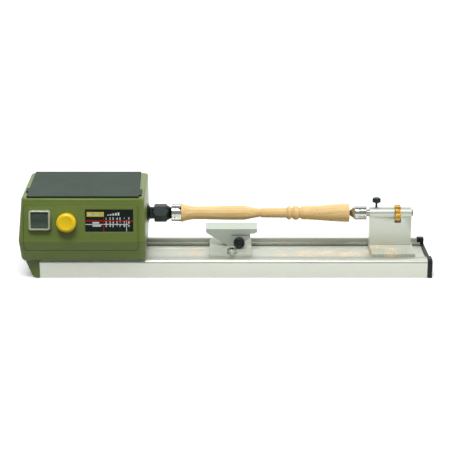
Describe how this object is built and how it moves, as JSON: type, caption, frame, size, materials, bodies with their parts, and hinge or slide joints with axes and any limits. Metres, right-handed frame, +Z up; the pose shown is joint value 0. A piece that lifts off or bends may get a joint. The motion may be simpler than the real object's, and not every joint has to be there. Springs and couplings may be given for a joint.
{
  "type": "wood lathe",
  "caption": "Bench wood lathe: enclosed headstock with controls, extruded bed, sliding tool rest and tailstock, and a turned wooden spindle between centres.",
  "frame": {"origin": "on the table, under the middle of the machine's box", "axes": "+X along the bed from headstock to tailstock, +Y away from the operator, +Z up"},
  "size_m": [0.5524, 0.157, 0.1152],
  "materials": {
    "green_plastic": "fine grain, matt",
    "black_plastic": "matt",
    "mat_rubber": "fine ribs, matt",
    "yellow_plastic": "satin",
    "clear_plastic": "smoky, translucent",
    "label_film": "printed film",
    "aluminium": "extruded, satin",
    "cast_aluminium": "cast and machined",
    "steel": "turned",
    "chrome": "polished",
    "black_steel": "blackened",
    "brass": "knurled",
    "beech": "turned, bare",
    "belt_rubber": "matt",
    "circuit_board": "coated"
  },
  "bodies": {
    "bed": {"bed_extrusion": "aluminium", "bed_end_cap": "black_plastic", "end_cap_screw_front": "steel", "end_cap_screw_rear": "steel", "headstock_lower_shell": "green_plastic", "headstock_upper_shell": "green_plastic", "housing_screw_upper_left": "steel", "housing_screw_upper_right": "steel", "housing_screw_lower_left": "steel", "housing_screw_lower_right": "steel", "top_mat": "mat_rubber", "control_panel": "green_plastic", "label_plate": "label_film", "switch_housing": "black_plastic", "switch_cover": "clear_plastic", "speed_potentiometer": "steel", "control_board": "circuit_board", "cord_gland": "black_plastic", "headstock_plate": "cast_aluminium", "headstock_bolt_front": "steel", "headstock_bolt_rear": "steel", "bearing_block": "cast_aluminium", "spindle_bearing_front": "steel", "spindle_bearing_rear": "steel", "motor_can": "black_steel", "motor_bracket": "steel", "drive_belt": "belt_rubber"},
    "spindle": {"spindle": "black_steel", "spindle_pulley": "aluminium", "collet": "steel", "drive_dog": "chrome", "workpiece": "beech"},
    "collet_nut": {"collet_nut": "black_steel"},
    "motor_rotor": {"motor_shaft": "steel", "motor_armature": "steel", "motor_pulley": "aluminium", "motor_fan": "black_plastic"},
    "speed_knob": {"speed_knob": "yellow_plastic", "speed_knob_shaft": "steel"},
    "switch_rocker": {"switch_rocker": "black_plastic"},
    "rest_carriage": {"rest_base": "cast_aluminium", "rest_slot_nut": "steel"},
    "rest_clamp_screw": {"rest_clamp_screw": "steel"},
    "rest_post": {"rest_post": "steel"},
    "tool_rest": {"tool_rest": "cast_aluminium"},
    "rest_clamp_knob": {"rest_clamp_knob": "black_plastic"},
    "tailstock": {"tailstock_base": "cast_aluminium", "tailstock_column": "cast_aluminium", "column_screw_left": "steel", "column_screw_right": "steel", "tailstock_slot_nut": "steel"},
    "tailstock_clamp_screw": {"tailstock_clamp_screw": "black_steel"},
    "quill_lock_screw": {"quill_lock_screw": "black_steel"},
    "quill_nut": {"quill_nut": "brass"},
    "quill": {"quill": "steel"},
    "live_centre": {"live_centre": "chrome"}
  },
  "joints": [
    {"name": "spindle_spin", "type": "hinge", "parent": "bed", "child": "spindle", "pos_m": [0, 0.008, 0.0715], "axis": [1, 0, 0], "continuous": true},
    {"name": "collet_nut_turn", "type": "hinge", "parent": "spindle", "child": "collet_nut", "pos_m": [-0.09, 0.008, 0.0715], "axis": [1, 0, 0], "range_deg": [0, 720]},
    {"name": "motor_spin", "type": "hinge", "parent": "bed", "child": "motor_rotor", "pos_m": [-0.2, 0.043, 0.058], "axis": [1, 0, 0], "continuous": true},
    {"name": "speed_knob_turn", "type": "hinge", "parent": "bed", "child": "speed_knob", "pos_m": [-0.2113, -0.06521, 0.0816], "axis": [0, -0.9836, 0.1805], "range_deg": [-280, 0]},
    {"name": "switch_rock", "type": "hinge", "parent": "bed", "child": "switch_rocker", "pos_m": [-0.247, -0.06327, 0.08445], "axis": [1, 0, 0], "range_deg": [0, 14]},
    {"name": "rest_travel", "type": "slide", "parent": "bed", "child": "rest_carriage", "axis": [1, 0, 0], "range_m": [-0.03, 0.15]},
    {"name": "rest_screw_turn", "type": "hinge", "parent": "rest_carriage", "child": "rest_clamp_screw", "pos_m": [0.0073, -0.0364, 0.032], "axis": [0, 0, 1], "range_deg": [0, 360]},
    {"name": "rest_swivel", "type": "hinge", "parent": "rest_carriage", "child": "rest_post", "pos_m": [0.0173, 0.002, 0.035], "axis": [0, 0, 1], "range_deg": [-30, 30]},
    {"name": "rest_height", "type": "slide", "parent": "rest_post", "child": "tool_rest", "axis": [0, 0, 1], "range_m": [0, 0.0012]},
    {"name": "rest_knob_turn", "type": "hinge", "parent": "tool_rest", "child": "rest_clamp_knob", "pos_m": [0.0173, -0.01, 0.0364], "axis": [0, -1, 0], "range_deg": [0, 360]},
    {"name": "tailstock_travel", "type": "slide", "parent": "bed", "child": "tailstock", "axis": [1, 0, 0], "range_m": [0, 0.014]},
    {"name": "tailstock_screw_turn", "type": "hinge", "parent": "tailstock", "child": "tailstock_clamp_screw", "pos_m": [0.225, 0.0224, 0.031], "axis": [0, 0, 1], "range_deg": [0, 360]},
    {"name": "quill_lock_turn", "type": "hinge", "parent": "tailstock", "child": "quill_lock_screw", "pos_m": [0.205, 0.008, 0.09], "axis": [0, 0, 1], "range_deg": [0, 360]},
    {"name": "quill_nut_turn", "type": "hinge", "parent": "tailstock", "child": "quill_nut", "pos_m": [0.2339, 0.008, 0.0715], "axis": [1, 0, 0], "range_deg": [0, 1080]},
    {"name": "quill_travel", "type": "slide", "parent": "tailstock", "child": "quill", "axis": [1, 0, 0], "range_m": [0, 0.00375]},
    {"name": "live_centre_spin", "type": "hinge", "parent": "quill", "child": "live_centre", "pos_m": [0.185, 0.008, 0.0715], "axis": [1, 0, 0], "continuous": true}
  ],
  "couplings": [
    {"joint": "spindle_spin", "follows": "motor_spin", "ratio": 0.44444},
    {"joint": "quill_nut_turn", "follows": "quill_travel", "rad_per_m": 5026.5}
  ]
}
